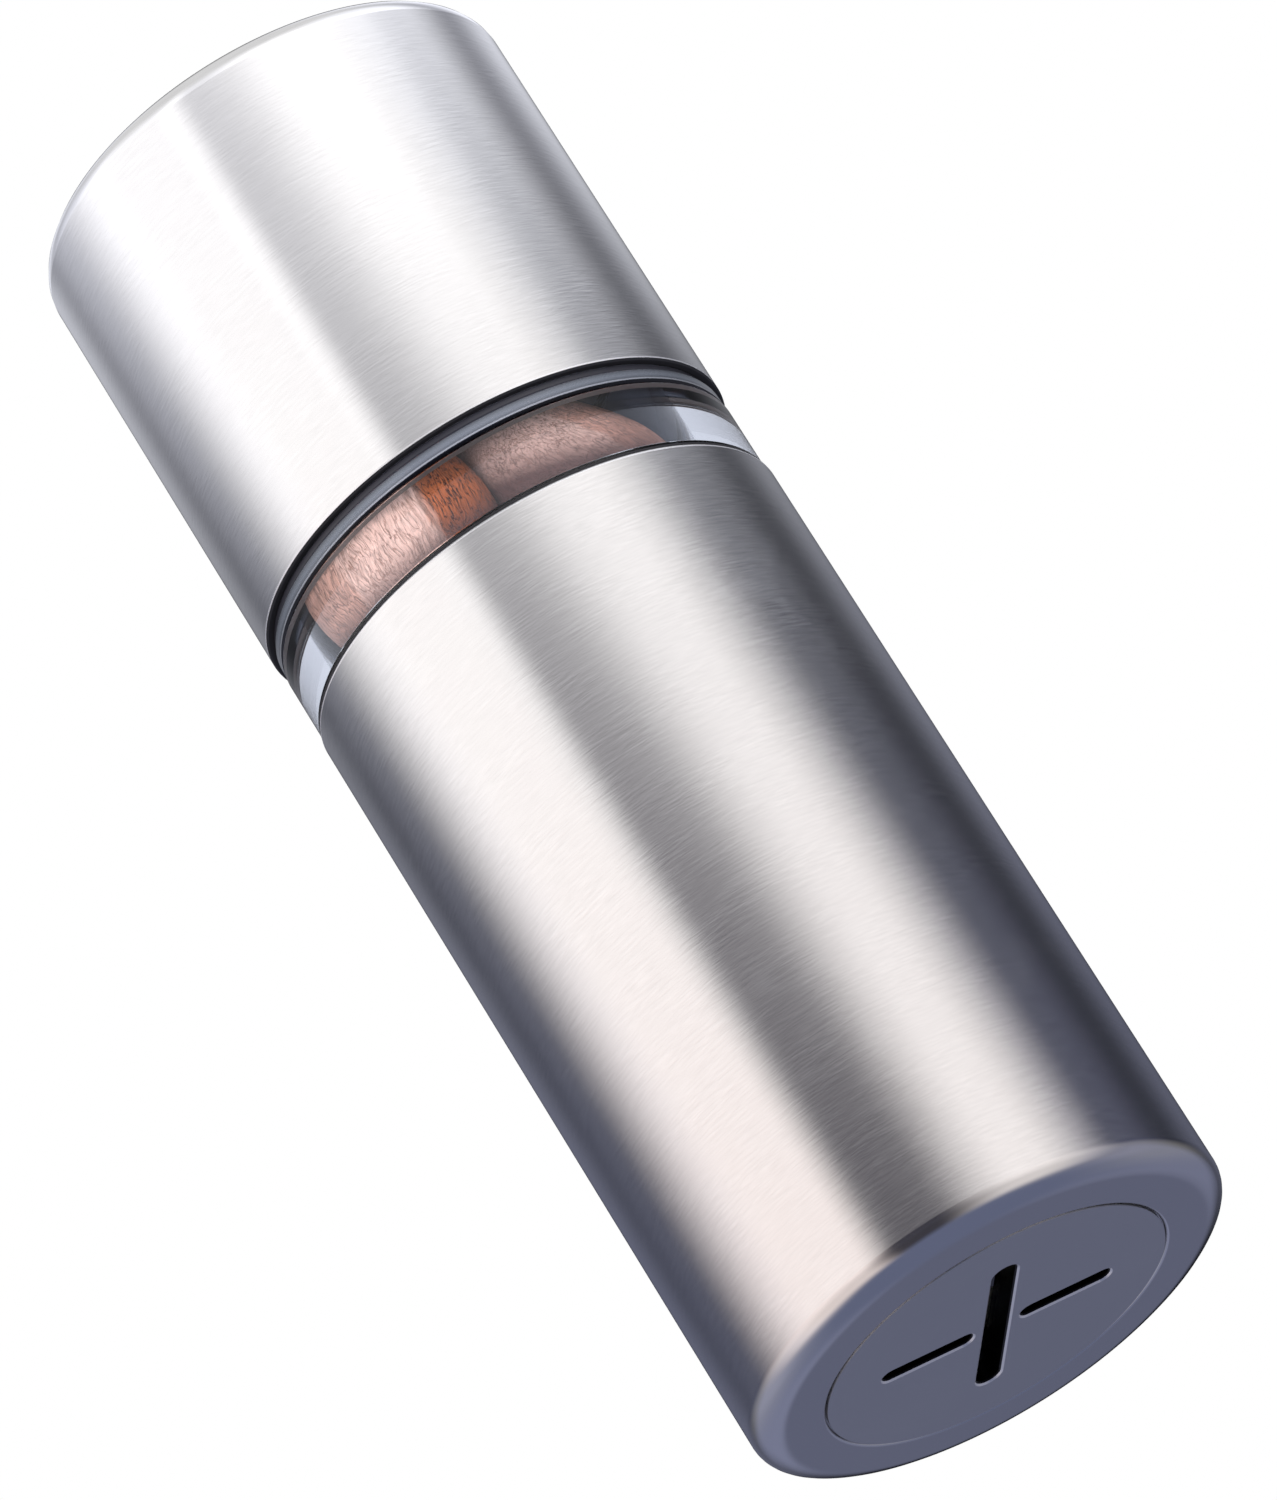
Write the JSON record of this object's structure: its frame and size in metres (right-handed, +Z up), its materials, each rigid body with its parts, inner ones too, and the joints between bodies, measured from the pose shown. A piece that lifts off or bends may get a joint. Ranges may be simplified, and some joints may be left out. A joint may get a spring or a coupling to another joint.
{
  "type": "nutmeg mill",
  "caption": "Cylindrical steel twist mill for nutmegs: slotted grating base, clear window over the stored nutmegs, turning head with sprung pusher, pull-off cap.",
  "frame": {"origin": "middle of the flat base that the mill stands on", "axes": "+Z up the mill's axis from the grating base to the cap, +X along the two short grating slots, +Y along the long one"},
  "size_m": [0.05, 0.05, 0.143],
  "materials": {
    "brushed_steel": "brushed round the body",
    "satin_steel": "satin, blue-grey",
    "blade_steel": "ground",
    "fastener_steel": "plated",
    "spring_steel": "drawn wire",
    "dark_plastic": "moulded, fine grain",
    "grey_plastic": "moulded, fine grain",
    "white_plastic": "moulded, slick",
    "black_rubber": "smooth",
    "clear_acrylic": "polished, clear",
    "nutmeg_shell": "dry, finely wrinkled"
  },
  "bodies": {
    "body": {"body_sleeve": "brushed_steel", "base_plate": "satin_steel", "cutter_plate": "blade_steel", "short_blade_1": "blade_steel", "long_blade_1": "blade_steel", "short_blade_2": "blade_steel", "long_blade_2": "blade_steel", "blade_rivets": "fastener_steel", "cutter_screws": "fastener_steel", "chamber_liner": "grey_plastic", "tube_bush": "white_plastic"},
    "plug": {"plug_ring": "dark_plastic", "plug_seal": "black_rubber", "glide_washer": "dark_plastic"},
    "head": {"storage_tube": "clear_acrylic", "collar_ring": "clear_acrylic", "cap_seal": "black_rubber", "grip_ring": "black_rubber", "drive_hub": "dark_plastic", "hub_screws": "fastener_steel", "drive_tube": "dark_plastic", "spring_seat": "white_plastic", "pusher_spring": "spring_steel", "nutmeg_1": "nutmeg_shell", "nutmeg_2": "nutmeg_shell", "nutmeg_3": "nutmeg_shell"},
    "pusher": {"pusher": "white_plastic", "pusher_spikes": "blade_steel"},
    "cap": {"cap_shell": "brushed_steel", "cap_liner": "grey_plastic"}
  },
  "joints": [
    {"name": "head_pull", "type": "slide", "parent": "body", "child": "plug", "axis": [0, 0, 1], "range_m": [0, 0.083]},
    {"name": "head_turn", "type": "hinge", "parent": "plug", "child": "head", "pos_m": [0, 0, 0.08], "axis": [0, 0, 1], "continuous": true},
    {"name": "cap_pull", "type": "slide", "parent": "head", "child": "cap", "axis": [0, 0, 1], "range_m": [0, 0.03]},
    {"name": "pusher_lift", "type": "slide", "parent": "head", "child": "pusher", "axis": [0, 0, 1], "range_m": [0, 0.028], "stiffness_N_per_m": 150, "springref_m": -0.02, "deforming": ["pusher_spring"]}
  ]
}
